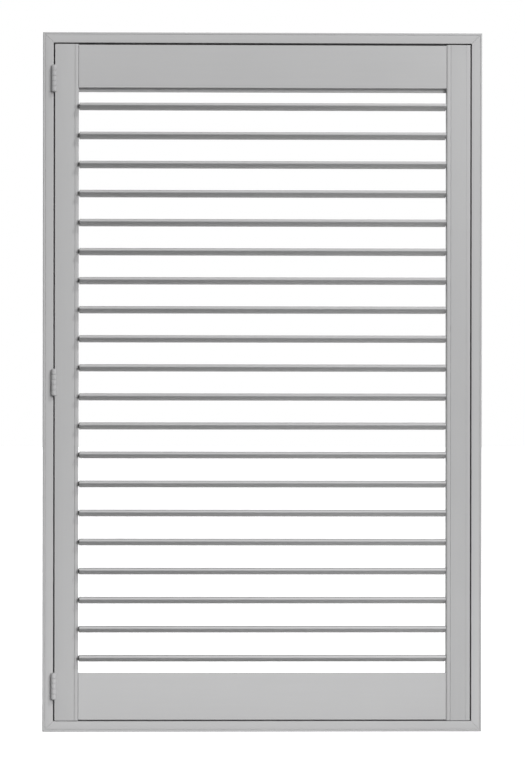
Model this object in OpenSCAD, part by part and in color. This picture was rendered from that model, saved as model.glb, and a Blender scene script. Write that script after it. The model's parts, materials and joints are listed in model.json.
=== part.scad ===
// Louvred shutter panel, hinged in an L-section frame, with a tilt drive hidden in one stile.
// X runs to the right, Y to the back, Z up. The origin is the middle of the frame's underside.

/* [Frame] */
// Width over the frame
frame_w = 880; // [760:1:980]
// Height over the frame
frame_h = 1400; // [1250:1:1560]
// Width of the frame's front face
frame_face = 21; // [18:0.5:26]
// Depth of the frame from front to back
frame_depth = 50; // [47:0.5:60]
// How far the stop reaches in behind the panel
stop_reach = 14; // [12:0.5:18]
// Room between the panel's back and the stop
stop_gap = 1.5; // [1.4:0.1:2.5]
// Width of the bead along the frame's outer edge
frame_bead_w = 3.8; // [3.6:0.1:6]
// Room between the panel and the frame at the sides and the top
panel_gap = 2.5; // [2.4:0.1:4]
// Room between the panel and the frame at the bottom
foot_gap = 1.2; // [1:0.1:4]

/* [Panel] */
// Thickness of stiles and rails
panel_t = 27; // [25:0.5:29]
// Width of a stile
stile_w = 48; // [44:0.5:60]
// Height of a rail with its lip
rail_h = 94; // [75:1:120]
// How far a rail lies inside the ends of the stiles
rail_setback = 1.5; // [0:0.1:4]
// Height of the rebate that the end louvre closes into
rebate_h = 8; // [7:0.5:13]
// Thickness of the lip behind the rebate
lip_t = 12; // [9:0.5:13]
// Width of the bead along a stile's inner edges
stile_bead_w = 8; // [5:0.5:11]

/* [Louvres] */
// Width of a louvre from nose to nose
louvre_w = 64; // [58:0.5:68]
// Thickness of a louvre at its middle
louvre_t = 13.5; // [10:0.5:15]
// Radius of a louvre's noses
nose_r = 2.5; // [1.5:0.1:4]
// Room between a louvre's end and the stile
end_gap = 1.5; // [1.2:0.1:2.5]
// How far the front noses point up at rest, in degrees
rest_lift = 6; // [-5:0.5:8]

/* [Tilt drive] */
// Diameter of the pivots' journals
journal_d = 6; // [5:0.1:7]
// Depth of the drive groove in the stile's outer edge
groove_d = 14; // [13:0.5:18]
// Thickness of the strip that covers the groove
cover_t = 7; // [4:0.5:8]
// Thickness of the rack behind its teeth
rack_back_t = 3; // [2:0.1:3.5]

/* [Hinges] */
// Length of a hinge
hinge_l = 52; // [45:1:70]
// Diameter of a hinge's barrel
barrel_d = 10.4; // [8:0.1:12]
// Diameter of a hinge's pin
pin_d = 4.5; // [3.5:0.1:5.5]
// Thickness of a hinge's leaf
leaf_t = 1.1; // [0.9:0.05:1.15]
// Depth of a hinge's leaf from its axis to its back edge
leaf_d = 22.5; // [21:0.5:25]
// From the panel's end to the middle of the nearest hinge
hinge_inset = 69; // [60:1:90]

/* [Fixings] */
// Diameter of the fixing holes through the frame's sides
fixing_d = 4.5; // [4:0.1:6]
// Distance between the two fixing holes of a side
fixing_span = 1000; // [800:10:1050]

/* [Hidden] */
$fn = 48;
louvre_count = 20;
overrun = 2;

// Fits
joint_clear = 0.05;
running_clear = 0.07;
slide_clear = 0.3;

// Edges and beads
edge_r = 1.2;
bead_r = 1.8;
quirk_w = 1;
quirk_d = 0.9;
arc_steps = 5;

// Places of the frame and the panel
front_y = -frame_depth / 2;
back_y = frame_depth / 2;
panel_w = frame_w - 2 * (frame_face + panel_gap);
panel_z = frame_face + foot_gap;
panel_top_z = frame_h - frame_face - panel_gap;
panel_h = panel_top_z - panel_z;
panel_back_y = front_y + panel_t;
pivot_y = front_y + panel_t / 2;
stop_y = panel_back_y + stop_gap;
rail_l = panel_w - 2 * stile_w;
rail_z = panel_z + rail_setback;
rail_top_z = panel_top_z - rail_setback;

// Louvres share the opening between the rails' lips evenly
opening_h = rail_top_z - rail_z - 2 * rail_h;
louvre_pitch = opening_h / louvre_count;
louvre_l = rail_l - 2 * end_gap;
louvre_a = louvre_w / 2;
louvre_b = louvre_t / 2;
flank_r = (pow(louvre_a - nose_r, 2) + pow(louvre_b, 2) - pow(nose_r, 2)) / (2 * (louvre_b - nose_r));
flank_drop = flank_r - louvre_b;
nose_angle = atan2(flank_drop, louvre_a - nose_r);
flank_steps = 14;
nose_steps = 8;

// Pivots
tang_w = 10;
tang_t = 4;
tang_l = 20;
flange_d = 9.6;
plain_journal_l = 12;
drive_sq = 3.4;

// Gears and rack: the louvre pitch is a whole number of teeth
gear_teeth = 12;
teeth_per_pitch = 23;
rack_stretch_teeth = 10;
pressure_angle = 25;
backlash = 0.2;
addendum_share = 0.9;
dedendum_share = 1.25;
tooth_pitch = louvre_pitch / teeth_per_pitch;
module_size = tooth_pitch / PI;
gear_r = gear_teeth * module_size / 2;
gear_base_r = gear_r * cos(pressure_angle);
gear_tip_r = gear_r + addendum_share * module_size;
gear_root_r = gear_r - dedendum_share * module_size;
flank_shares = [0, 0.25, 0.5, 0.75, 1];
rack_pitch_y = pivot_y + gear_r;
rack_root_y = rack_pitch_y + dedendum_share * module_size;
rack_tip_y = rack_pitch_y - addendum_share * module_size;
rack_back_y = rack_root_y + rack_back_t;
rack_end = 15;
rack_travel = 7;
stile_in_x = rail_l / 2;
stile_out_x = panel_w / 2;
groove_x = stile_out_x - groove_d;
groove_front_y = pivot_y - gear_tip_r - slide_clear;
groove_back_y = rack_back_y + slide_clear;
gear_w = groove_d - cover_t - 2 * slide_clear;

// Dowels, two in each corner of the panel
dowel_d = 8;
dowel_l = 60;
dowel_room = 1;
dowel_spread = 46;

// Hinges sit with their leaves in the gap and their barrels in front of it
hinge_x = -(panel_w + panel_gap) / 2;
barrel_clear = 0.4;
hinge_y = front_y - barrel_d / 2 - barrel_clear;
knuckle_count = 5;
knuckle_l = hinge_l / knuckle_count;
hinge_zs = [panel_z + hinge_inset, panel_z + panel_h / 2, panel_top_z - hinge_inset];
pin_cap_h = 1.2;
pin_cap_d = 7.4;
screw_d = 3.2;
screw_head_d = 6;
frame_screw_l = 15;
panel_screw_l = 20;
screw_y = hinge_y + leaf_d - screw_head_d;
screw_spread = 30;

// Corner keys lie across the mitres, let in from the back
key_u = 12;
key_l = 14;
key_w = 7;
key_waist = 3.6;
key_depth = 20;

// Catches hold the panel shut against the stop
magnet_d = 8;
magnet_l = 5;
strike_d = 9;
strike_t = 1;
catch_x = stile_out_x - (stop_reach - panel_gap) / 2;
catch_spread = 1060;
catch_zs = [(frame_h - catch_spread) / 2, (frame_h + catch_spread) / 2];

// Fixing holes
fixing_sink_d = 9;
fixing_zs = [(frame_h - fixing_span) / 2, (frame_h + fixing_span) / 2];

// Colours
paint = [0.72, 0.72, 0.73];
hinge_paint = [0.68, 0.68, 0.69];
nylon = [0.86, 0.86, 0.84];
steel = [0.62, 0.63, 0.65];
beech = [0.80, 0.66, 0.48];

function two_digits(n) = n < 10 ? str("0", n) : str(n);
function louvre_name(n) = str("louvre_", two_digits(n));
function pivots_name(n) = str("pivots_", two_digits(n));
// Louvre 1 is the topmost
function louvre_z(n) = rail_top_z - rail_h - (n - 0.5) * louvre_pitch;
function arc(cx, cy, r, from, to, steps = arc_steps) =
    [for (k = [0:steps]) [cx + r * cos(from + (to - from) * k / steps), cy + r * sin(from + (to - from) * k / steps)]];

fixed_nodes = [
    "frame_left", "frame_right", "frame_top", "frame_bottom", "corner_keys",
    "hinge_frame_leaves", "hinge_panel_leaves", "hinge_pins", "hinge_frame_screws", "hinge_panel_screws",
    "left_stile", "right_stile", "stile_cover", "top_rail", "bottom_rail", "rail_dowels",
    "catch_magnets", "strike_plates", "tilt_rack"
];

// A section drawn in Y and Z, run along X about the middle
module along_x(length, points) {
    rotate([90, 0, 90]) linear_extrude(height = length, center = true) polygon(points);
}

// A round bar along X from one place to another
module x_bar(from, to, d1, d2) {
    translate([from, 0, 0]) rotate([0, 90, 0]) cylinder(h = to - from, d1 = d1, d2 = d2);
}

// Frame section: L-shaped, with a quirked bead on the outer front edge; Y from the front, Z inwards
function frame_outline() = [for (p = concat(
    arc(bead_r, bead_r, bead_r, 180, 270),
    arc(frame_bead_w - quirk_d, quirk_d, quirk_d, 270, 360),
    [[frame_bead_w + quirk_w, quirk_d], [frame_bead_w + quirk_w, 0]],
    arc(frame_face - edge_r, edge_r, edge_r, 270, 360),
    [
        [frame_face, stop_y - front_y],
        [frame_face + stop_reach, stop_y - front_y],
        [frame_face + stop_reach, frame_depth],
        [0, frame_depth]
    ]
)) [front_y + p[1], p[0]]];

// A mitred frame member along X, with its outer edge at Z = 0
module mitred_member(length) {
    reach = frame_face + stop_reach;
    intersection() {
        along_x(length, frame_outline());
        rotate([90, 0, 0]) linear_extrude(height = frame_depth + 2 * overrun, center = true)
            polygon([[-length / 2, 0], [length / 2, 0], [length / 2 - reach, reach], [reach - length / 2, reach]]);
    }
}

module key_shape(grow) {
    rotate([90, 0, 0]) linear_extrude(height = key_depth + grow)
        polygon([
            [-key_l / 2 - grow, -key_w / 2 - grow], [0, -key_waist / 2 - grow], [key_l / 2 + grow, -key_w / 2 - grow],
            [key_l / 2 + grow, key_w / 2 + grow], [0, key_waist / 2 + grow], [-key_l / 2 - grow, key_w / 2 + grow]
        ]);
}

module at_corners() {
    for (side = [-1, 1], end = [-1, 1])
        translate([side * (frame_w / 2 - key_u), back_y, frame_h / 2 + end * (frame_h / 2 - key_u)])
            rotate([0, 45 * side * end, 0]) children();
}

module corner_keys() {
    color(nylon) at_corners() key_shape(0);
}

// Holes through a side of the frame, countersunk from inside the gap
module fixing_holes(side) {
    mirror([side > 0 ? 0 : 1, 0, 0])
        for (z = fixing_zs) translate([0, pivot_y, z]) {
            x_bar(frame_w / 2 - frame_face - overrun, frame_w / 2 + overrun, fixing_d, fixing_d);
            x_bar(frame_w / 2 - frame_face, frame_w / 2 - frame_face + fixing_d / 2, fixing_sink_d, fixing_d);
        }
}

module frame_left() {
    color(paint) difference() {
        translate([-frame_w / 2, 0, frame_h / 2]) rotate([0, 90, 0]) mitred_member(frame_h);
        at_corners() key_shape(joint_clear);
        fixing_holes(-1);
        at_hinge_screws() frame_screw(joint_clear);
    }
}

module frame_right() {
    color(paint) difference() {
        translate([frame_w / 2, 0, frame_h / 2]) rotate([0, -90, 0]) mitred_member(frame_h);
        at_corners() key_shape(joint_clear);
        fixing_holes(1);
        at_catches() translate([0, stop_y - overrun, 0])
            y_bar(magnet_l + joint_clear + overrun, magnet_d + 2 * joint_clear);
    }
}

module frame_top() {
    color(paint) difference() {
        translate([0, 0, frame_h]) rotate([0, 180, 0]) mitred_member(frame_w);
        at_corners() key_shape(joint_clear);
    }
}

module frame_bottom() {
    color(paint) difference() {
        mitred_member(frame_w);
        at_corners() key_shape(joint_clear);
    }
}

// A round bar along Y, starting at the place where it is put
module y_bar(length, d) {
    rotate([-90, 0, 0]) cylinder(h = length, d = d);
}

module at_catches() {
    for (z = catch_zs) translate([catch_x, 0, z]) children();
}

module catch_magnets() {
    color(steel) at_catches() translate([0, stop_y, 0]) y_bar(magnet_l, magnet_d);
}

module strike_plates() {
    color(steel) at_catches() translate([0, panel_back_y, 0]) y_bar(strike_t, strike_d);
}

// Stile section: beads on both inner edges; X from the outer edge inwards, Y from the front
function stile_outline() = concat(
    arc(edge_r, edge_r, edge_r, 180, 270),
    [[stile_w - stile_bead_w - quirk_w, 0], [stile_w - stile_bead_w - quirk_w, quirk_d]],
    arc(stile_w - stile_bead_w + quirk_d, quirk_d, quirk_d, 180, 270),
    arc(stile_w - bead_r, bead_r, bead_r, 270, 360),
    arc(stile_w - bead_r, panel_t - bead_r, bead_r, 0, 90),
    arc(stile_w - stile_bead_w + quirk_d, panel_t - quirk_d, quirk_d, 90, 180),
    [[stile_w - stile_bead_w - quirk_w, panel_t - quirk_d], [stile_w - stile_bead_w - quirk_w, panel_t]],
    arc(edge_r, panel_t - edge_r, edge_r, 90, 180)
);

// The left stile, to be mirrored for the right one
module stile_bar() {
    translate([-panel_w / 2, front_y, panel_z]) linear_extrude(height = panel_h) polygon(stile_outline());
}

module left_stile() {
    color(paint) difference() {
        stile_bar();
        at_dowels() dowel(joint_clear);
        for (n = [1:louvre_count]) translate([0, pivot_y, louvre_z(n)])
            x_bar(
                -stile_in_x - plain_journal_l - slide_clear, overrun - stile_in_x,
                journal_d + 2 * running_clear, journal_d + 2 * running_clear
            );
        at_hinge_screws() panel_screw(joint_clear);
    }
}

module right_stile() {
    color(paint) difference() {
        mirror([1, 0, 0]) stile_bar();
        at_dowels() dowel(joint_clear);
        for (n = [1:louvre_count]) translate([0, pivot_y, louvre_z(n)])
            x_bar(
                stile_in_x - overrun, groove_x + overrun,
                journal_d + 2 * running_clear, journal_d + 2 * running_clear
            );
        groove(groove_x, stile_out_x + overrun, 0);
    }
}

// The room for the drive, drawn smaller for the strip that closes it
module groove(from_x, to_x, shrink) {
    low = louvre_z(louvre_count) - rack_end - rack_travel + shrink;
    high = louvre_z(1) + rack_end + rack_travel - shrink;
    translate([from_x, groove_front_y + shrink, low])
        cube([to_x - from_x, groove_back_y - groove_front_y - 2 * shrink, high - low]);
}

module stile_cover() {
    color(paint) groove(stile_out_x - cover_t, stile_out_x, joint_clear);
}

// Rail section, as the top rail has it: the lip hangs at the back; Y from the front, Z down
function rail_outline() = concat(
    arc(edge_r, edge_r, edge_r, 180, 270),
    arc(panel_t - edge_r, edge_r, edge_r, 270, 360),
    arc(panel_t - edge_r, rail_h - edge_r, edge_r, 0, 90),
    arc(panel_t - lip_t + edge_r, rail_h - edge_r, edge_r, 90, 180),
    [[panel_t - lip_t, rail_h - rebate_h]],
    arc(edge_r, rail_h - rebate_h - edge_r, edge_r, 90, 180)
);

module top_rail() {
    color(paint) difference() {
        along_x(rail_l, [for (p = rail_outline()) [front_y + p[0], rail_top_z - p[1]]]);
        at_dowels() dowel(joint_clear);
    }
}

// The bottom rail is the same section turned over, so its lip stands at the front
module bottom_rail() {
    color(paint) difference() {
        along_x(rail_l, [for (p = rail_outline()) [panel_back_y - p[0], rail_z + p[1]]]);
        at_dowels() dowel(joint_clear);
    }
}

module at_dowels() {
    for (side = [-1, 1], mid = [rail_z + rail_h / 2, rail_top_z - rail_h / 2], step = [-1, 1])
        translate([side * stile_in_x, pivot_y, mid + step * dowel_spread / 2]) children();
}

module dowel(grow) {
    reach = dowel_l / 2 + (grow > 0 ? dowel_room : 0);
    x_bar(-reach, reach, dowel_d + 2 * grow, dowel_d + 2 * grow);
}

module rail_dowels() {
    color(beech) at_dowels() dowel(0);
}

// Louvre section: two flat arcs that run into round noses
function louvre_outline() = concat(
    arc(louvre_a - nose_r, 0, nose_r, -nose_angle, nose_angle, nose_steps),
    arc(0, -flank_drop, flank_r, nose_angle, 180 - nose_angle, flank_steps),
    arc(nose_r - louvre_a, 0, nose_r, 180 - nose_angle, 180 + nose_angle, nose_steps),
    arc(0, flank_drop, flank_r, 180 + nose_angle, 360 - nose_angle, flank_steps)
);

// Where louvre n turns, at its angle of rest
module on_pivot(n) {
    translate([0, pivot_y, louvre_z(n)]) rotate([-rest_lift, 0, 0]) children();
}

// The flat tang of a pivot, in the right end of a louvre
module tang(grow) {
    reach = grow > 0 ? overrun : 0;
    translate([louvre_l / 2 - tang_l - grow, -tang_w / 2 - grow, -tang_t / 2 - grow])
        cube([tang_l + grow + reach, tang_w + 2 * grow, tang_t + 2 * grow]);
}

module louvre(n) {
    color(paint) on_pivot(n) difference() {
        along_x(louvre_l, louvre_outline());
        for (side = [0, 1]) mirror([side, 0, 0]) tang(joint_clear);
    }
}

// A pivot for the right end: tang, flange and journal
module pivot(journal_l) {
    tang(0);
    x_bar(louvre_l / 2, stile_in_x - slide_clear, flange_d, flange_d);
    x_bar(stile_in_x - slide_clear, stile_in_x + journal_l, journal_d, journal_d);
}

function gear_half_angle(r) =
    let (
        pitch_half = (tooth_pitch / 2 - backlash) / (2 * gear_r) * 180 / PI,
        roll = acos(gear_base_r / r),
        inv_pitch = tan(pressure_angle) * 180 / PI - pressure_angle,
        inv_roll = tan(roll) * 180 / PI - roll
    ) pitch_half + inv_pitch - inv_roll;

function polar(r, a) = [r * cos(a), r * sin(a)];

// Involute teeth, each from its lower root to its upper root
function gear_outline() = [for (k = [0:gear_teeth - 1]) each
    let (
        mid = 360 * k / gear_teeth,
        radii = [for (s = flank_shares) gear_base_r + s * (gear_tip_r - gear_base_r)],
        last = len(radii) - 1
    ) concat(
        [polar(gear_root_r, mid - gear_half_angle(gear_base_r))],
        [for (r = radii) polar(r, mid - gear_half_angle(r))],
        [for (i = [last:-1:0]) polar(radii[i], mid + gear_half_angle(radii[i]))],
        [polar(gear_root_r, mid + gear_half_angle(gear_base_r))]
    )];

module tilt_gear() {
    hole = drive_sq + 2 * joint_clear;
    translate([groove_x + slide_clear, 0, 0]) rotate([90, 0, 90]) linear_extrude(height = gear_w) difference() {
        polygon(gear_outline());
        square(hole, center = true);
    }
}

// Both pivots of louvre n: a plain one on the left, and on the right one that carries the gear
module pivots(n) {
    color(nylon) {
        on_pivot(n) {
            mirror([1, 0, 0]) pivot(plain_journal_l);
            pivot(groove_x - stile_in_x);
        }
        translate([0, pivot_y, louvre_z(n)]) {
            translate([groove_x - overrun, -drive_sq / 2, -drive_sq / 2])
                cube([overrun + slide_clear + gear_w, drive_sq, drive_sq]);
            tilt_gear();
        }
    }
}

// The rack's teeth beside louvre n, from below upwards
function rack_teeth(n) = [for (k = [0:rack_stretch_teeth - 1]) each
    let (
        mid = louvre_z(n) + (k - (rack_stretch_teeth - 1) / 2) * tooth_pitch,
        root_half = tooth_pitch / 4 + dedendum_share * module_size * tan(pressure_angle),
        tip_half = tooth_pitch / 4 - addendum_share * module_size * tan(pressure_angle)
    ) [
        [rack_root_y, mid - root_half], [rack_tip_y, mid - tip_half],
        [rack_tip_y, mid + tip_half], [rack_root_y, mid + root_half]
    ]];

module tilt_rack() {
    low = louvre_z(louvre_count) - rack_end;
    high = louvre_z(1) + rack_end;
    color(steel) translate([groove_x + slide_clear + gear_w / 2, 0, 0])
        along_x(gear_w, concat(
            [[rack_back_y, high], [rack_back_y, low], [rack_root_y, low]],
            [for (n = [louvre_count:-1:1]) each rack_teeth(n)],
            [[rack_root_y, high]]
        ));
}

module at_hinges() {
    for (z = hinge_zs) translate([hinge_x, hinge_y, z]) children();
}

// One leaf on its side of the gap, 1 for the panel's and -1 for the frame's, with the knuckles it owns
module hinge_leaf(side, knuckles) {
    barrel_r = barrel_d / 2;
    face_x = side > 0 ? panel_gap / 2 - leaf_t : -panel_gap / 2;
    plate_y = barrel_r + slide_clear;
    difference() {
        union() {
            translate([face_x, plate_y, -hinge_l / 2]) cube([leaf_t, leaf_d - plate_y, hinge_l]);
            for (k = knuckles) translate([0, 0, k * knuckle_l - hinge_l / 2 + slide_clear / 2]) {
                cylinder(h = knuckle_l - slide_clear, d = barrel_d);
                translate([face_x, 0, 0]) cube([leaf_t, plate_y + leaf_t, knuckle_l - slide_clear]);
            }
        }
        translate([0, 0, -hinge_l / 2 - overrun])
            cylinder(h = hinge_l + 2 * overrun, d = pin_d + 2 * running_clear);
    }
}

module hinge_frame_leaves() {
    color(hinge_paint) difference() {
        at_hinges() hinge_leaf(-1, [0, 2, 4]);
        at_hinge_screws() frame_screw(joint_clear);
    }
}

module hinge_panel_leaves() {
    color(hinge_paint) difference() {
        at_hinges() hinge_leaf(1, [1, 3]);
        at_hinge_screws() panel_screw(joint_clear);
    }
}

module hinge_pins() {
    color(steel) at_hinges() {
        translate([0, 0, -hinge_l / 2]) cylinder(h = hinge_l, d = pin_d);
        for (end = [0, 1]) mirror([0, 0, end]) translate([0, 0, hinge_l / 2]) cylinder(h = pin_cap_h, d = pin_cap_d);
    }
}

module at_hinge_screws() {
    for (z = hinge_zs, step = [-1, 1]) translate([hinge_x, screw_y, z + step * screw_spread / 2]) children();
}

// A countersunk screw along +X, its head flush at X = 0 and a leaf thick
module screw(length, grow) {
    x_bar(0, leaf_t, screw_head_d + 2 * grow, screw_d + 2 * grow);
    x_bar(leaf_t, length + grow, screw_d + 2 * grow, screw_d + 2 * grow);
}

module frame_screw(grow) {
    mirror([1, 0, 0]) translate([panel_gap / 2 - leaf_t, 0, 0]) screw(frame_screw_l, grow);
}

module panel_screw(grow) {
    translate([panel_gap / 2 - leaf_t, 0, 0]) screw(panel_screw_l, grow);
}

module hinge_frame_screws() {
    color(steel) at_hinge_screws() frame_screw(0);
}

module hinge_panel_screws() {
    color(steel) at_hinge_screws() panel_screw(0);
}

frame_left();
frame_right();
frame_top();
frame_bottom();
corner_keys();
hinge_frame_leaves();
hinge_panel_leaves();
hinge_pins();
hinge_frame_screws();
hinge_panel_screws();
left_stile();
right_stile();
stile_cover();
top_rail();
bottom_rail();
rail_dowels();
catch_magnets();
strike_plates();
tilt_rack();
for (n = [1:louvre_count]) louvre(n);
for (n = [1:louvre_count]) pivots(n);
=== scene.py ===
import json
import math

import bmesh
import bpy
from mathutils import Matrix, Vector


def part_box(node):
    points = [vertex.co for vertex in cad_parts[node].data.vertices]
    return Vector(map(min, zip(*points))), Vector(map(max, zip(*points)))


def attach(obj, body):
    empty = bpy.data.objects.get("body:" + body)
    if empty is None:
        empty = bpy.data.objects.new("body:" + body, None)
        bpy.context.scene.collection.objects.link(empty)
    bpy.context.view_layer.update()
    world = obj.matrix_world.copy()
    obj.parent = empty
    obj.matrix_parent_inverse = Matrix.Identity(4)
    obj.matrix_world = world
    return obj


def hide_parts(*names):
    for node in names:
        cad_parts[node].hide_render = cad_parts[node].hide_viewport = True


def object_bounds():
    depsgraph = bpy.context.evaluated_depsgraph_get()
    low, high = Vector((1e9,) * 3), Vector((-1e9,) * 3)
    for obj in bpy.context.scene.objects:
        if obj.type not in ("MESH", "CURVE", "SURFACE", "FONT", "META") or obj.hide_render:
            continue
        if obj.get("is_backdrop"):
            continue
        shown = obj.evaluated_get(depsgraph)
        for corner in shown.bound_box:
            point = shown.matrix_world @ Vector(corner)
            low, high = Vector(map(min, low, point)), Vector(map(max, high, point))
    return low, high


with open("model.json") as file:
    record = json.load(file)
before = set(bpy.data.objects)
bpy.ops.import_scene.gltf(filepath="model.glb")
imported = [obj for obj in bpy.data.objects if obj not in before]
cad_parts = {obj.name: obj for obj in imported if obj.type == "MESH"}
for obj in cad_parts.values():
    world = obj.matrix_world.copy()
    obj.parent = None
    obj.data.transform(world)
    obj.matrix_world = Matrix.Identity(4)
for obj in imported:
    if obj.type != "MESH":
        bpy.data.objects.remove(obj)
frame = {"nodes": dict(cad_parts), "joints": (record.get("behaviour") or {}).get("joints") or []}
cadLow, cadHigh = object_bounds()
scene = bpy.context.scene
nodes = frame["nodes"]
mm = 0.001
print("frame loaded:", len(nodes), "nodes")


# shader groups that the finishes share
def shaderGroup(name, inputs, outputs):
    group = bpy.data.node_groups.new(name, "ShaderNodeTree")
    for label, kind, value in inputs:
        group.interface.new_socket(name=label, in_out="INPUT", socket_type=kind).default_value = value
    for label, kind in outputs:
        group.interface.new_socket(name=label, in_out="OUTPUT", socket_type=kind)
    return group, group.nodes.new("NodeGroupInput"), group.nodes.new("NodeGroupOutput")


def addNode(tree, kind, links=None, **values):
    node = tree.nodes.new(kind)
    for key, value in values.items():
        setattr(node, key, value)
    for socket, source in (links or {}).items():
        if isinstance(source, bpy.types.NodeSocket):
            tree.links.new(source, node.inputs[socket])
        else:
            node.inputs[socket].default_value = source
    return node


def noise(tree, vector, scale, detail, roughness):
    links = {"Vector": vector, "Scale": scale, "Detail": detail, "Roughness": roughness}
    return addNode(tree, "ShaderNodeTexNoise", links).outputs["Fac"]


def math2(tree, operation, a, b):
    return addNode(tree, "ShaderNodeMath", {0: a, 1: b}, operation=operation).outputs[0]


def spread(tree, value, amount, middle, mean=0.5):  # noise about its mean becomes middle +- amount
    centred = math2(tree, "SUBTRACT", value, mean)
    return math2(tree, "ADD", math2(tree, "MULTIPLY", centred, amount), middle)


def stretchedPlace(tree, given):  # object coordinates, as they are and stretched along the piece
    place = addNode(tree, "ShaderNodeTexCoord").outputs["Object"]
    links = {"Vector": place, "Scale": given.outputs["Stretch"]}
    return place, addNode(tree, "ShaderNodeMapping", links).outputs[0]


filmOutputs = [("Color", "NodeSocketColor"), ("Roughness", "NodeSocketFloat"), ("Height", "NodeSocketFloat")]
paintSet = {"mottle": (7.0, 3.0, 0.5), "grain": (160.0, 4.0, 0.6),  # features per metre, detail, roughness
            "peel": (520.0, 2.0, 0.5), "speck": (1900.0, 2.0, 0.5),
            "peelRough": 0.10, "mottleRough": 0.06, "peelHigh": 0.55, "grainHigh": 0.35, "speckHigh": 0.10}
metalSet = {"streak": (900.0, 3.0, 0.6), "blotch": (120.0, 3.0, 0.5), "blotchTone": 0.12, "blotchRough": 0.22}


def makePaintFilm():  # sprayed satin paint, with the timber's grain just showing through
    group, given, result = shaderGroup("paintFilm", [
        ("Color", "NodeSocketColor", (0.48, 0.48, 0.48, 1)), ("Stretch", "NodeSocketVector", (1, 1, 1)),
        ("Mottle", "NodeSocketFloat", 0.1), ("Grain", "NodeSocketFloat", 0.05),
        ("Gloss", "NodeSocketFloat", 0.42)], filmOutputs)
    c = paintSet
    place, along = stretchedPlace(group, given)
    mottle = noise(group, place, *c["mottle"])
    grain = noise(group, along, *c["grain"])
    peel = noise(group, place, *c["peel"])
    speck = noise(group, place, *c["speck"])
    tone = math2(group, "ADD", spread(group, mottle, given.outputs["Mottle"], 1.0),
                 spread(group, grain, given.outputs["Grain"], 0.0))
    colour = addNode(group, "ShaderNodeHueSaturation", {"Value": tone, "Color": given.outputs["Color"]})
    group.links.new(colour.outputs[0], result.inputs["Color"])
    rough = math2(group, "ADD", spread(group, peel, c["peelRough"], given.outputs["Gloss"]),
                  spread(group, mottle, c["mottleRough"], 0.0))
    group.links.new(rough, result.inputs["Roughness"])
    height = math2(group, "ADD", math2(group, "MULTIPLY", peel, c["peelHigh"]),
                   math2(group, "MULTIPLY", grain, c["grainHigh"]))
    height = math2(group, "ADD", height, math2(group, "MULTIPLY", speck, c["speckHigh"]))
    group.links.new(height, result.inputs["Height"])
    return group


def makeMetalSkin():  # drawn or plated metal: streaks along one way, small blotches
    group, given, result = shaderGroup("metalSkin", [
        ("Color", "NodeSocketColor", (0.6, 0.6, 0.6, 1)), ("Stretch", "NodeSocketVector", (1, 1, 1)),
        ("Streak", "NodeSocketFloat", 0.2), ("Gloss", "NodeSocketFloat", 0.35)], filmOutputs)
    c = metalSet
    place, along = stretchedPlace(group, given)
    streak = noise(group, along, *c["streak"])
    blotch = noise(group, place, *c["blotch"])
    tone = math2(group, "ADD", spread(group, streak, given.outputs["Streak"], 1.0),
                 spread(group, blotch, c["blotchTone"], 0.0))
    colour = addNode(group, "ShaderNodeHueSaturation", {"Value": tone, "Color": given.outputs["Color"]})
    group.links.new(colour.outputs[0], result.inputs["Color"])
    rough = spread(group, blotch, c["blotchRough"], given.outputs["Gloss"])
    group.links.new(rough, result.inputs["Roughness"])
    group.links.new(streak, result.inputs["Height"])
    return group


paintFilm = makePaintFilm()
metalSkin = makeMetalSkin()


def filmMaterial(name, group, values, bump, **sockets):  # bump is a strength, and a depth in mm
    material = bpy.data.materials.new(name)
    material.use_nodes = True
    tree = material.node_tree
    shader = tree.nodes["Principled BSDF"]
    film = addNode(tree, "ShaderNodeGroup", node_tree=group)
    for key, value in values.items():
        film.inputs[key].default_value = value
    tree.links.new(film.outputs["Color"], shader.inputs["Base Color"])
    tree.links.new(film.outputs["Roughness"], shader.inputs["Roughness"])
    dent = addNode(tree, "ShaderNodeBump",
                   {"Height": film.outputs["Height"], "Strength": bump[0], "Distance": bump[1] * mm})
    tree.links.new(dent.outputs["Normal"], shader.inputs["Normal"])
    for key, value in sockets.items():
        shader.inputs[key.replace("_", " ")].default_value = value
    return material


# finishes, in linear colours; the shutter has one grey paint, but the stiles' colour is set a little darker
# than the frame's and rails' (painted shade) and the louvres' lighter (painted highlight)
paintLook = {"frame": (0.463, 0.463, 0.466), "stile": (0.447, 0.447, 0.450), "level": (0.463, 0.463, 0.466),
             "louvre": (0.512, 0.512, 0.515), "hinge": (0.44, 0.44, 0.445), "mottle": 0.06, "grain": 0.035,
             "alongX": (0.04, 1, 1), "alongZ": (1, 1, 0.04), "even": (1, 1, 1),
             "gloss": 0.5, "hingeGloss": 0.34, "bump": (0.18, 0.25), "specular": 0.25}
nylonLook = {"Color": (0.62, 0.62, 0.60, 1), "Mottle": 0.05, "Grain": 0.02, "Gloss": 0.5}
beechLook = {"Color": (0.55, 0.37, 0.20, 1), "Stretch": (0.03, 1, 1), "Mottle": 0.2, "Grain": 0.6,
             "Gloss": 0.7}
zincLook = {"Color": (0.56, 0.57, 0.58, 1), "Streak": 0.12, "Gloss": 0.36}
aluminiumLook = {"Color": (0.70, 0.70, 0.72, 1), "Stretch": (1, 1, 0.02), "Streak": 0.2, "Gloss": 0.32}
skinBump = {"nylon": (0.12, 0.2), "beech": (0.3, 0.3), "zinc": (0.1, 0.1), "aluminium": (0.12, 0.1)}
nylonSpecular = 0.4


def paintMaterial(name, colour, stretch, gloss="gloss"):
    c = paintLook
    values = {"Color": (*c[colour], 1), "Stretch": c[stretch], "Mottle": c["mottle"], "Grain": c["grain"],
              "Gloss": c[gloss]}
    return filmMaterial(name, paintFilm, values, c["bump"], Specular_IOR_Level=c["specular"])


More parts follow.
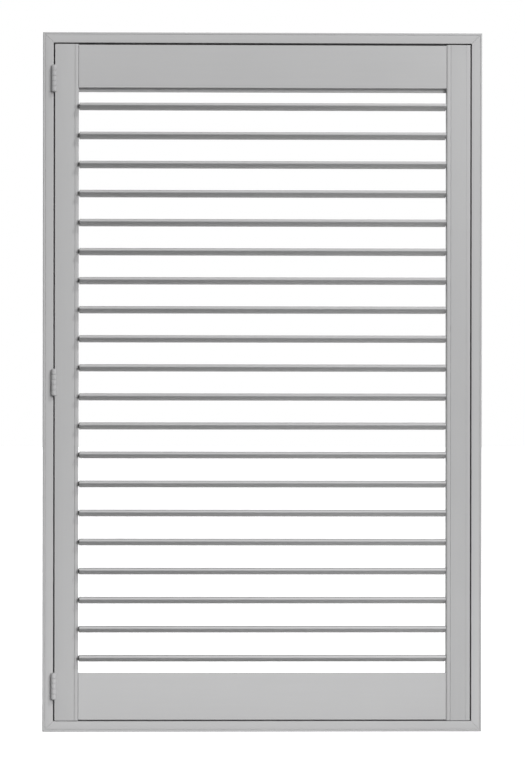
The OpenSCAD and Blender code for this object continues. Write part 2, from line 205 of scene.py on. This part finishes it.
paintFrame = paintMaterial("satinPaintFrame", "frame", "alongZ")
# the stiles' colour, darker than the frame's, is painted shade
paintStileShaded = paintMaterial("satinPaintStileShaded", "stile", "alongZ")
paintLevel = paintMaterial("satinPaintLevel", "level", "alongX")
# the louvres' colour, lighter than the frame's, is a painted highlight
paintLouvreLit = paintMaterial("satinPaintLouvreLit", "louvre", "alongX")
paintHinge = paintMaterial("satinPaintHinge", "hinge", "even", "hingeGloss")
nylonSkin = filmMaterial("mouldedNylon", paintFilm, nylonLook, skinBump["nylon"],
                         Specular_IOR_Level=nylonSpecular)
beechWood = filmMaterial("bareBeech", paintFilm, beechLook, skinBump["beech"])
zincSteel = filmMaterial("zincPlatedSteel", metalSkin, zincLook, skinBump["zinc"], Metallic=1.0)
millAluminium = filmMaterial("millAluminium", metalSkin, aluminiumLook, skinBump["aluminium"], Metallic=1.0)
print("finishes made")

# mesh helpers
smoothAngle = 32  # degrees, sharper edges stay sharp
cornerSteps = 6  # facets of a rounded corner in a section
apart = 0.02  # mm, keeps the faces and edges of two shapes out of one plane
samePlane = 1e-6  # metres
onCut = 1e-7  # metres
noWidth = 2e-6  # metres


def newObject(name, bm):
    mesh = bpy.data.meshes.new(name)
    bm.to_mesh(mesh)
    bm.free()
    obj = bpy.data.objects.new(name, mesh)
    scene.collection.objects.link(obj)
    return obj


def finishPiece(obj, material, body, replaced):
    mesh = obj.data
    mesh.materials.clear()
    mesh.materials.append(material)
    mesh.polygons.foreach_set("use_smooth", [True] * len(mesh.polygons))
    mesh.set_sharp_from_angle(angle=math.radians(smoothAngle))
    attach(obj, body)
    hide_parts(*replaced)


def vertsIn(geom):
    return [e for e in geom if isinstance(e, bmesh.types.BMVert)]


def edgesOf(verts):
    return list({e for v in verts for e in v.link_edges})


def sectionFace(corners):  # corners are (y, z, radius) in mm, drawn in the plane of Y and Z
    bm = bmesh.new()
    verts = [bm.verts.new((0, y * mm, z * mm)) for y, z, radius in corners]
    bm.faces.new(verts)
    for size in sorted({radius for y, z, radius in corners if radius}):
        chosen = [v for v, corner in zip(verts, corners) if corner[2] == size]
        bmesh.ops.bevel(bm, geom=chosen, offset=size * mm, offset_type="OFFSET", segments=cornerSteps,
                        profile=0.5, affect="VERTICES", material=-1)
    return bm


def runAlongX(bm, low, high):  # the section becomes a bar from low to high
    bmesh.ops.translate(bm, verts=bm.verts[:], vec=(low, 0, 0))
    grown = bmesh.ops.extrude_face_region(bm, geom=bm.faces[:])["geom"]
    bmesh.ops.translate(bm, verts=vertsIn(grown), vec=(high - low, 0, 0))
    bmesh.ops.recalc_face_normals(bm, faces=bm.faces[:])


def bevelEdges(bm, edges, size, segments=2):
    bmesh.ops.bevel(bm, geom=edges, offset=size * mm, offset_type="OFFSET", segments=segments, profile=0.5,
                    affect="EDGES", material=-1)


def rimEdges(bm, point, normal):  # the edges that lie in a plane
    direction = Vector(normal).normalized()

    def inPlane(vert):
        return abs((vert.co - Vector(point)).dot(direction)) < samePlane

    return [e for e in bm.edges if inPlane(e.verts[0]) and inPlane(e.verts[1])]


def addBar(bm, start, end, radiusA, radiusB, sides=32):  # round bar or cone between two points
    axis = Vector(end) - Vector(start)
    turn = axis.to_track_quat("Z", "Y").to_matrix().to_4x4()
    place = Matrix.Translation((Vector(start) + Vector(end)) / 2) @ turn
    return bmesh.ops.create_cone(bm, cap_ends=True, segments=sides, radius1=radiusA, radius2=radiusB,
                                 depth=axis.length, matrix=place)["verts"]


def addTurned(bm, start, along, profile, sides=32):  # profile of (distance, radius) turned about an axis
    known = set(bm.verts)
    radial = Vector(along).orthogonal().normalized()
    verts = [bm.verts.new(Vector(start) + Vector(along) * d + radial * r) for d, r in profile]
    edges = [bm.edges.new(pair) for pair in zip(verts, verts[1:])]
    bmesh.ops.spin(bm, geom=verts + edges, cent=start, axis=along, angle=2 * math.pi, steps=sides,
                   use_merge=True, use_duplicate=False)
    bmesh.ops.remove_doubles(bm, verts=[v for v in bm.verts if v not in known], dist=noWidth)


def addBox(bm, low, high):
    size = Vector(high) - Vector(low)
    place = Matrix.Translation((Vector(low) + Vector(high)) / 2) @ Matrix.Diagonal((*size, 1))
    return bmesh.ops.create_cube(bm, size=1, matrix=place)["verts"]


def carve(obj, cutter, operation="DIFFERENCE"):  # cuts the shape out of the piece, or joins it on
    knife = newObject("cutter", cutter)
    cut = obj.modifiers.new("cut", "BOOLEAN")
    cut.operation = operation
    cut.solver = "EXACT"
    cut.object = knife
    shaped = obj.evaluated_get(bpy.context.evaluated_depsgraph_get())
    cutMesh = bpy.data.meshes.new_from_object(shaped)
    obj.modifiers.clear()
    obj.data = cutMesh
    bpy.data.objects.remove(knife)


def closeSlivers(obj):  # takes out the faces of no width that a cut can leave, after the last cut
    bm = bmesh.new()
    bm.from_mesh(obj.data)
    bmesh.ops.triangulate(bm, faces=bm.faces[:])
    bmesh.ops.remove_doubles(bm, verts=bm.verts[:], dist=noWidth)
    bmesh.ops.dissolve_degenerate(bm, edges=bm.edges[:], dist=noWidth)
    bm.to_mesh(obj.data)
    bm.free()


# frame: four mitred L-section members, sizes in mm; over is how far a cutter runs out of the piece
frameCut = {"face": 21, "stopReach": 14, "stopFront": 28.5, "bead": 3.8, "beadRadius": 1.8, "quirk": 1.0,
            "quirkDepth": 1.0, "quirkRadius": 0.9, "arris": 0.4, "edge": 1.2, "mitre": 1.0}
keyCut = {"inset": 12, "length": 14, "end": 7, "waist": 3.6, "depth": 20, "room": 0.05, "over": 1}
fixingCut = {"span": 1000, "radius": 2.25, "sink": 4.5, "inside": 4, "outside": 2}
magnetCut = {"radius": 4.05, "depth": 5.05, "inset": 4, "over": 1}
frameWide = cadHigh.x - cadLow.x
frameHigh = cadHigh.z - cadLow.z
memberLow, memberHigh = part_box("frame_top")
frontY, backY = memberLow.y, memberHigh.y
stileLow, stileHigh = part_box("left_stile")
pivotY = (stileLow.y + stileHigh.y) / 2
mitreAngle = math.radians(45)


def frameBar(length):  # along X with its outer edge at Z = 0
    c = frameCut
    front, back = frontY / mm, backY / mm
    quirkY, quirkZ = front + c["quirkDepth"], c["bead"] + c["quirk"]
    stopY, stopZ = front + c["stopFront"], c["face"] + c["stopReach"]
    bm = sectionFace([
        (front, 0, c["beadRadius"]), (front, c["bead"], c["quirkRadius"]), (quirkY, c["bead"], 0),
        (quirkY, quirkZ, 0), (front, quirkZ, c["arris"]), (front, c["face"], c["edge"]),
        (stopY, c["face"], 0), (stopY, stopZ, c["arris"]), (back, stopZ, c["arris"]), (back, 0, c["arris"])])
    runAlongX(bm, -length / 2, length / 2)
    for side in (-1, 1):
        corner, slope = (side * length / 2, 0, 0), (side, 0, 1)
        bmesh.ops.bisect_plane(bm, geom=bm.verts[:] + bm.edges[:] + bm.faces[:], dist=onCut, plane_co=corner,
                               plane_no=slope, clear_outer=True)
        rim = [e for e in rimEdges(bm, corner, slope) if e.is_boundary]
        bmesh.ops.holes_fill(bm, edges=rim, sides=0)
    bmesh.ops.recalc_face_normals(bm, faces=bm.faces[:])
    return bm


def pastMitre(side, end, upright):  # a small step out of a member, square to its mitre
    step = apart * mm if upright else -apart * mm
    return Vector((-side * step, 0, end * step))


def addKeyPocket(bm, side, end, past):  # bow-tie pocket across a mitre, cut from the back
    c, room = keyCut, keyCut["room"]
    halfL, halfE, halfW = c["length"] / 2 + room, c["end"] / 2 + room, c["waist"] / 2 + room
    outline = [(-halfL, -halfE), (0, -halfW), (halfL, -halfE), (halfL, halfE), (0, halfW), (-halfL, halfE)]
    face = bm.faces.new([bm.verts.new((x * mm, 0, z * mm)) for x, z in outline])
    top = vertsIn(bmesh.ops.extrude_face_region(bm, geom=[face])["geom"])
    bmesh.ops.translate(bm, verts=top, vec=(0, (c["depth"] + c["over"]) * mm, 0))
    inset, middle = c["inset"] * mm, frameHigh / 2
    place = Matrix.Translation(past + Vector((side * (frameWide / 2 - inset), backY - c["depth"] * mm,
                                              middle + end * (middle - inset))))
    diagonal = Matrix.Rotation(mitreAngle * side * end, 4, "Y")
    bmesh.ops.transform(bm, matrix=place @ diagonal, verts=top + list(face.verts))


def addMitreLine(bm, side, end, faceY, past):  # a fine V-groove where two members meet
    reach = math.sqrt(2) * (frameCut["face"] + frameCut["stopReach"]) * mm
    half = frameCut["mitre"] / 2 * mm
    line = addBox(bm, (-reach, -half, -half), (reach, half, half))
    corner = Vector((side * frameWide / 2, faceY, frameHigh / 2 + end * frameHigh / 2))
    diagonal = Matrix.Rotation(-mitreAngle * side * end, 4, "Y")
    onEdge = Matrix.Rotation(math.radians(45), 4, "X")
    bmesh.ops.transform(bm, matrix=Matrix.Translation(past + corner) @ diagonal @ onEdge, verts=line)


def addFixingHoles(bm, side):  # two countersunk holes through an upright
    c = fixingCut
    innerX = side * (frameWide / 2 - frameCut["face"] * mm)
    outerX = side * (frameWide / 2 + c["outside"] * mm)
    r, sink = c["radius"] * mm, c["sink"] * mm
    for end in (-1, 1):
        z = frameHigh / 2 + end * c["span"] * mm / 2
        addBar(bm, (innerX - side * c["inside"] * mm, pivotY, z), (outerX, pivotY, z), r, r)
        addBar(bm, (innerX - side * apart * mm, pivotY, z), (innerX + side * r, pivotY, z), sink, r)


def addMagnetHoles(bm):  # blind holes in the front of the stop
    c = magnetCut
    low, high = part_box("catch_magnets")
    x, r = (low.x + high.x) / 2, c["radius"] * mm
    for z in (low.z + c["inset"] * mm, high.z - c["inset"] * mm):
        addBar(bm, (x, low.y - c["over"] * mm, z), (x, low.y + c["depth"] * mm, z), r, r)


frameMembers = [  # name, side of an upright, length, turn about Y, place, corners as (side, end)
    ("frame_left", -1, frameHigh, 90, (-frameWide / 2, 0, frameHigh / 2), [(-1, -1), (-1, 1)]),
    ("frame_right", 1, frameHigh, -90, (frameWide / 2, 0, frameHigh / 2), [(1, -1), (1, 1)]),
    ("frame_top", 0, frameWide, 180, (0, 0, frameHigh), [(-1, 1), (1, 1)]),
    ("frame_bottom", 0, frameWide, 0, (0, 0, 0), [(-1, -1), (1, -1)])]
for name, upright, length, turn, place, corners in frameMembers:
    bar = frameBar(length)
    bmesh.ops.transform(bar, verts=bar.verts[:],
                        matrix=Matrix.Translation(place) @ Matrix.Rotation(math.radians(turn), 4, "Y"))
    piece = newObject(name.replace("frame_", "frameBar_"), bar)
    knife, scribe = bmesh.new(), bmesh.new()
    for side, end in corners:
        past = pastMitre(side, end, upright)
        addKeyPocket(knife, side, end, past)
        addMitreLine(scribe, side, end, frontY, past)
        addMitreLine(scribe, side, end, backY, past)
    if upright:
        addFixingHoles(knife, upright)
    if name == "frame_right":
        addMagnetHoles(knife)
    bmesh.ops.recalc_face_normals(knife, faces=knife.faces[:])
    carve(piece, knife)
    carve(piece, scribe)
    closeSlivers(piece)
    finishPiece(piece, paintFrame if upright else paintLevel, "frame", [name])
print("frame made")

# panel: stiles with beads on their inner edges, rails with a rebate, sizes in mm
stileCut = {"bead": 8, "beadRadius": 3.4, "quirk": 1.0, "quirkDepth": 1.0, "quirkRadius": 0.9, "arris": 0.4,
            "edge": 1.2, "end": 0.3, "endSteps": 3, "lipping": 8.5, "lippingLine": 1.0}
grooveCut = {"depth": 14, "room": 0.05, "over": 2}
pivotBore = {"radius": 3.07, "room": 0.05, "over": 1}
railCut = {"lip": 12, "rebate": 8, "edge": 1.2, "fillet": 0.8}
coverLow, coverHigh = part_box("stile_cover")
pivotEnd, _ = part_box("pivots_01")
pivotOf = {j["child"]: Vector(j["pos_m"]) for j in frame["joints"] if j["name"].endswith("_tilt")}


def stileBar(lipped):  # drawn for the left: section in Y and Z, then stood up along Z
    c = stileCut
    wide, thick = (stileHigh.x - stileLow.x) / mm, (stileHigh.y - stileLow.y) / mm
    inner, quirk = wide - c["bead"], wide - c["bead"] - c["quirk"]
    half, lip = c["lippingLine"] / 2, c["lipping"]
    line = [(0, lip - half, 0), (half, lip, 0), (0, lip + half, 0)] if lipped else []
    front = [(0, 0, c["edge"]), *line, (0, quirk, c["arris"]), (c["quirkDepth"], quirk, 0),
             (c["quirkDepth"], inner, 0), (0, inner, c["quirkRadius"]), (0, wide, c["beadRadius"])]
    back = [(thick - y, z, radius) for y, z, radius in reversed(front)]
    bm = sectionFace(front + back)
    tall = stileHigh.z - stileLow.z
    runAlongX(bm, 0, tall)
    for x in (0, tall):
        bevelEdges(bm, rimEdges(bm, (x, 0, 0), (1, 0, 0)), c["end"], c["endSteps"])
    stand = Matrix(((0, 0, 1, stileLow.x), (0, 1, 0, stileLow.y), (1, 0, 0, stileLow.z), (0, 0, 0, 1)))
    bmesh.ops.transform(bm, matrix=stand, verts=bm.verts[:])
    return bm


for name, side in (("left_stile", -1), ("right_stile", 1)):
    bar = stileBar(side > 0)
    if side > 0:
        bmesh.ops.scale(bar, vec=(-1, 1, 1), verts=bar.verts[:])
    bmesh.ops.recalc_face_normals(bar, faces=bar.faces[:])
    piece = newObject("stileBar_" + name.split("_")[0], bar)
    boreStart = -side * stileHigh.x - side * pivotBore["over"] * mm
    boreEnd = pivotEnd.x - pivotBore["room"] * mm
    if side > 0:  # the right stile's bores run into the groove of the rack
        knife = bmesh.new()
        room = grooveCut["room"] * mm
        grooveX = coverHigh.x - grooveCut["depth"] * mm
        addBox(knife, (grooveX, coverLow.y - room, coverLow.z - room),
               (coverHigh.x + grooveCut["over"] * mm, coverHigh.y + room, coverHigh.z + room))
        carve(piece, knife)
        boreEnd = grooveX + pivotBore["over"] * mm
    bores = bmesh.new()
    r = pivotBore["radius"] * mm
    for pivot in pivotOf.values():
        addBar(bores, (boreStart, pivot.y, pivot.z), (boreEnd, pivot.y, pivot.z), r, r)
    carve(piece, bores)
    closeSlivers(piece)
    finishPiece(piece, paintStileShaded, "panel", [name])

for name, turned in (("top_rail", False), ("bottom_rail", True)):
    c = railCut
    low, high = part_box(name)
    thick, tall = (high.y - low.y) / mm, (high.z - low.z) / mm
    lipY, rebateZ = thick - c["lip"], tall - c["rebate"]
    bar = sectionFace([
        (0, 0, c["edge"]), (thick, 0, c["edge"]), (thick, tall, c["edge"]), (lipY, tall, c["edge"]),
        (lipY, rebateZ, c["fillet"]), (0, rebateZ, c["edge"])])
    runAlongX(bar, low.x, high.x)
    flip = Matrix.Diagonal((1, -1, 1, 1)) if turned else Matrix.Diagonal((1, 1, -1, 1))
    place = Matrix.Translation((0, high.y, low.z) if turned else (0, low.y, high.z))
    bmesh.ops.transform(bar, matrix=place @ flip, verts=bar.verts[:])
    bmesh.ops.recalc_face_normals(bar, faces=bar.faces[:])
    piece = newObject("railBar_" + name.split("_")[0], bar)
    finishPiece(piece, paintLevel, "panel", [name])
print("panel made")

# louvres: two flat arcs that run into round noses, sizes in mm and degrees
louvreCut = {"wide": 64, "thick": 13.5, "nose": 2.5, "endRound": 0.7, "restLift": 6,
             "flankSteps": 20, "noseSteps": 10}


def louvreBlade(length, pivot):
    c = louvreCut
    half, rise, nose = c["wide"] / 2, c["thick"] / 2, c["nose"]
    noseY = half - nose
    flank = (noseY ** 2 + rise ** 2 - nose ** 2) / (2 * (rise - nose))  # radius of the flat arcs
    drop = flank - rise
    noseAngle = math.atan2(drop, noseY)
    flankAngle = math.pi - 2 * noseAngle
    bm = bmesh.new()
    tip = bm.verts.new((0, (noseY + nose * math.cos(noseAngle)) * mm, -nose * math.sin(noseAngle) * mm))
    arcs = [(noseY, 0, 2 * noseAngle, c["noseSteps"]), (0, -drop, flankAngle, c["flankSteps"]),
            (-noseY, 0, 2 * noseAngle, c["noseSteps"]), (0, drop, flankAngle, c["flankSteps"])]
    for y, z, angle, steps in arcs:
        turned = bmesh.ops.spin(bm, geom=[tip], cent=(0, y * mm, z * mm), axis=(1, 0, 0), angle=angle,
                                steps=steps, use_duplicate=False)["geom_last"]
        tip = vertsIn(turned)[0]
    bmesh.ops.remove_doubles(bm, verts=bm.verts[:], dist=samePlane)
    bmesh.ops.contextual_create(bm, geom=bm.edges[:])
    runAlongX(bm, -length / 2, length / 2)
    for x in (-length / 2, length / 2):
        bevelEdges(bm, rimEdges(bm, (x, 0, 0), (1, 0, 0)), c["endRound"])
    lift = Matrix.Rotation(-math.radians(c["restLift"]), 4, "X")
    bmesh.ops.transform(bm, matrix=Matrix.Translation(pivot) @ lift, verts=bm.verts[:])
    return bm


for name, pivot in sorted(pivotOf.items()):
    low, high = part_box(name)
    blade = newObject(name.replace("louvre_", "louvreBlade_"), louvreBlade(high.x - low.x, pivot))
    finishPiece(blade, paintLouvreLit, name, [name])
print("louvres made:", len(pivotOf))

# hinges: knuckles with eased rims on folded leaves, domed pin ends and cross-head screws, sizes in mm
hingeCut = {"length": 52, "barrel": 10.4, "barrelSides": 40, "pin": 4.5, "knuckles": 5, "seam": 0.3,
            "leaf": 1.1, "gap": 2.5, "depth": 22.5, "ease": 0.5, "easeSteps": 3, "leafEase": 0.25,
            "room": 0.05, "over": 1}
pinCut = {"capRadius": 3.7, "capRise": 1.2, "capRound": 0.9, "capSteps": 4}
screwCut = {"spread": 30, "head": 6, "shank": 3.2, "tip": 0.4, "slot": 3.6, "slotWide": 0.75, "slotDeep": 0.7,
            "proud": 0.08, "over": 1, "frameLength": 15, "panelLength": 20}
swing = [j for j in frame["joints"] if j["name"] == "panel_swing"][0]
hingeX, hingeY, _ = swing["pos_m"]
pinLow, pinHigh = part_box("hinge_pins")
hingeInset = (hingeCut["length"] / 2 + pinCut["capRise"]) * mm
hingeZs = [pinLow.z + hingeInset, (pinLow.z + pinHigh.z) / 2, pinHigh.z - hingeInset]


def hingeLeaves(side, owned):  # side 1 is the panel's leaf, -1 the frame's; owned are its knuckles
    c = hingeCut
    half, leaf, gap, radius = c["length"] / 2 * mm, c["leaf"] * mm, c["gap"] / 2 * mm, c["barrel"] / 2 * mm
    plateY, step = radius + c["seam"] * mm, c["length"] / c["knuckles"] * mm
    bore, over = (c["pin"] / 2 + c["room"]) * mm, c["over"] * mm
    inset = (c["ease"] + apart) * mm
    lowX, highX = (x + hingeX for x in sorted((side * gap, side * (gap - leaf))))
    plates, rolls, links, bores = bmesh.new(), bmesh.new(), bmesh.new(), bmesh.new()
    for z in hingeZs:
        plate = addBox(plates, (lowX, hingeY + plateY, z - half), (highX, hingeY + c["depth"] * mm, z + half))
        bevelEdges(plates, edgesOf(plate), c["leafEase"])
        addBar(bores, (hingeX, hingeY, z - half - over), (hingeX, hingeY, z + half + over), bore, bore)
        for k in owned:
            base = z - half + k * step + c["seam"] / 2 * mm
            top = base + step - c["seam"] * mm
            roll = addBar(rolls, (hingeX, hingeY, base), (hingeX, hingeY, top), radius, radius,
                          c["barrelSides"])
            rims = [e for e in edgesOf(roll) if abs(e.verts[0].co.z - e.verts[1].co.z) < onCut]
            bevelEdges(rolls, rims, c["ease"], c["easeSteps"])
            addBox(links, (lowX + apart * mm, hingeY, base + inset),
                   (highX - apart * mm, hingeY + plateY + leaf, top - inset))
    return plates, rolls, links, bores


for name, side, owned, body in (("hinge_frame_leaves", -1, (0, 2, 4), "frame"),
                                ("hinge_panel_leaves", 1, (1, 3), "panel")):
    plates, rolls, links, bores = hingeLeaves(side, owned)
    leaves = newObject(name.replace("hinge_", "hinge-"), rolls)
    carve(leaves, links, "UNION")
    carve(leaves, plates, "UNION")
    carve(leaves, bores)
    closeSlivers(leaves)
    finishPiece(leaves, paintHinge, body, [name])


def hingePins():  # a cap at each end, rounded on its outer rim
    half, rise = hingeCut["length"] / 2 * mm, pinCut["capRise"] * mm
    shank, cap = hingeCut["pin"] / 2 * mm, pinCut["capRadius"] * mm
    profile = [(-half - rise, 0), (-half - rise, cap), (-half, cap), (-half, shank),
               (half, shank), (half, cap), (half + rise, cap), (half + rise, 0)]
    bm = bmesh.new()
    for z in hingeZs:
        addTurned(bm, (hingeX, hingeY, z), (0, 0, 1), profile)
        for tipZ in (z - half - rise, z + half + rise):
            tip = Vector((hingeX, hingeY, tipZ))
            flat = rimEdges(bm, tip, (0, 0, 1))
            rim = [e for e in flat if all((v.co - tip).length > shank for v in e.verts)]
            bevelEdges(bm, rim, pinCut["capRound"], pinCut["capSteps"])
    bmesh.ops.recalc_face_normals(bm, faces=bm.faces[:])
    return bm


finishPiece(newObject("hinge-pins", hingePins()), paintHinge, "frame", ["hinge_pins"])


def hingeScrews(name, side, length):  # countersunk in the leaf, with a cross recess
    c = screwCut
    low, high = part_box(name)
    y = (low.y + high.y) / 2
    leaf, over = hingeCut["leaf"], c["over"] * mm
    faceX = hingeX + side * (hingeCut["gap"] / 2 - leaf - c["proud"]) * mm
    profile = [(0, 0), (0, c["head"] / 2 * mm), ((leaf + c["proud"]) * mm, c["shank"] / 2 * mm),
               (length * mm, c["tip"] * mm), (length * mm, 0)]
    deep, long, wide = c["slotDeep"] * mm, c["slot"] / 2 * mm, c["slotWide"] / 2 * mm
    screws, level, upright = bmesh.new(), bmesh.new(), bmesh.new()
    slots = ((level, long, wide, deep), (upright, wide + apart * mm, long, deep + apart * mm))
    for z in hingeZs:
        for step in (-1, 1):
            at = Vector((faceX, y, z + step * c["spread"] / 2 * mm))
            addTurned(screws, at, (side, 0, 0), profile)
            for knife, halfY, halfZ, depth in slots:
                lowX, highX = sorted((at.x - side * over, at.x + side * depth))
                addBox(knife, (lowX, at.y - halfY, at.z - halfZ), (highX, at.y + halfY, at.z + halfZ))
    bmesh.ops.recalc_face_normals(screws, faces=screws.faces[:])
    return screws, level, upright


for name, side, length, body in (("hinge_frame_screws", -1, screwCut["frameLength"], "frame"),
                                 ("hinge_panel_screws", 1, screwCut["panelLength"], "panel")):
    screws, *slots = hingeScrews(name, side, length)
    piece = newObject(name.replace("hinge_", "hinge-"), screws)
    for slot in slots:
        carve(piece, slot)
    closeSlivers(piece)
    finishPiece(piece, zincSteel, body, [name])
print("hinges made")

# the other nodes keep their shape and get their finish
nodeFinish = {"corner_keys": nylonSkin, "stile_cover": paintStileShaded, "rail_dowels": beechWood,
              "catch_magnets": zincSteel, "strike_plates": zincSteel, "tilt_rack": millAluminium}
nodeFinish.update({name: nylonSkin for name in nodes if name.startswith("pivots_")})
for name, material in nodeFinish.items():
    nodes[name].data.materials.clear()
    nodes[name].data.materials.append(material)
print("finishes given")

# stage: floor, world, lamps and camera
stage = {"floorHalf": 60, "floorDrop": 0.2, "floorColour": 0.75, "floorBounce": 0.20, "floorLift": 0.8,
         "worldFill": 0.23, "white": 1.0}
suns = {  # where it comes from, power, spread in degrees
    "key": ((0.38, -0.90, 0.26), 2.04, 22),
    "slant": ((0.62, -0.72, 0.93), 1.0, 5),
    "rear": ((0.42, 0.88, 0.16), 1.85, 22),
    "left": ((-0.96, 0.20, 0.18), 0.8, 22)}
fills = {  # place, aim, power, width, height
    "lowFill": ((0.03, -0.6, 0.05), (0.03, 0, 0.05), 0.8, 1.2, 0.1),
    "sideFill": ((0.62, -0.5, 1.38), (0.42, 0, 1.28), 0.38, 0.35, 0.35)}


def whiteRays(tree):  # 1 for the rays that should meet the white ground
    path = addNode(tree, "ShaderNodeLightPath")
    seen = math2(tree, "MAXIMUM", path.outputs["Is Camera Ray"], path.outputs["Is Glossy Ray"])
    return math2(tree, "MAXIMUM", seen, path.outputs["Is Transmission Ray"])


bm = bmesh.new()
bmesh.ops.create_grid(bm, x_segments=1, y_segments=1, size=stage["floorHalf"],
                      matrix=Matrix.Translation((0, 0, cadLow.z - stage["floorDrop"] * mm)))
floor = newObject("floor", bm)
floorMaterial = bpy.data.materials.new("paleFloor")
floorMaterial.use_nodes = True
tree = floorMaterial.node_tree
tree.nodes.clear()
grey = addNode(tree, "ShaderNodeMapRange",
               {"Value": whiteRays(tree), "To Min": stage["floorBounce"], "To Max": stage["floorColour"]})
diffuse = addNode(tree, "ShaderNodeBsdfDiffuse", {"Color": grey.outputs[0]})
glow = math2(tree, "MULTIPLY", whiteRays(tree), stage["floorLift"])
lift = addNode(tree, "ShaderNodeEmission", {"Color": (1, 1, 1, 1), "Strength": glow})
both = addNode(tree, "ShaderNodeAddShader", {0: diffuse.outputs[0], 1: lift.outputs[0]})
addNode(tree, "ShaderNodeOutputMaterial", {"Surface": both.outputs[0]})
floor.data.materials.append(floorMaterial)
floor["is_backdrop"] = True

world = bpy.data.worlds.new("studio")
scene.world = world
world.use_nodes = True
tree = world.node_tree
ground = tree.nodes["Background"]
ground.inputs["Color"].default_value = (1, 1, 1, 1)
strength = addNode(tree, "ShaderNodeMapRange",
                   {"Value": whiteRays(tree), "To Min": stage["worldFill"], "To Max": stage["white"]})
tree.links.new(strength.outputs[0], ground.inputs["Strength"])


def addLamp(name, kind, place, aim, power, glossy=True):
    lamp = bpy.data.lights.new(name, kind)
    lamp.energy = power
    lampObject = bpy.data.objects.new(name, lamp)
    lampObject.location = place
    lampObject.rotation_euler = (Vector(aim) - Vector(place)).to_track_quat("-Z", "Y").to_euler()
    lampObject.visible_camera = False
    lampObject.visible_glossy = glossy
    scene.collection.objects.link(lampObject)
    return lamp


for name, (place, power, angle) in suns.items():  # not seen in gloss, where they would clip to white
    addLamp(name, "SUN", place, (0, 0, 0), power, False).angle = math.radians(angle)
for name, (place, aim, power, wide, high) in fills.items():
    lamp = addLamp(name, "AREA", place, aim, power)
    lamp.shape = "RECTANGLE"
    lamp.size = wide
    lamp.size_y = high

# the camera stands far off and a little to the left; middle of the frame in pixels, scale in mm to a pixel
photo = {"wide": 525, "high": 762, "scale": 2.0015, "distance": 14.0, "aside": 0.56, "middleX": 262.6,
         "middleY": 382.2, "roll": 0.07, "sensor": 36}
pixel = photo["scale"] * mm
camera = bpy.data.cameras.new("camera")
camera.sensor_width = photo["sensor"]
camera.lens = photo["sensor"] * photo["distance"] / (photo["high"] * pixel)
cameraObject = bpy.data.objects.new("camera", camera)
aim = Vector(((photo["wide"] / 2 - photo["middleX"]) * pixel, frontY,
              frameHigh / 2 + (photo["middleY"] - photo["high"] / 2) * pixel))
cameraObject.location = aim + Vector((-photo["aside"], -photo["distance"], 0))
look = (aim - cameraObject.location).to_track_quat("-Z", "Y")
roll = Matrix.Rotation(math.radians(photo["roll"]), 3, "Z").to_quaternion()
cameraObject.rotation_mode = "QUATERNION"
cameraObject.rotation_quaternion = look @ roll
scene.collection.objects.link(cameraObject)
scene.camera = cameraObject
scene.view_settings.view_transform = "Standard"
print("stage set")

low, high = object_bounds()
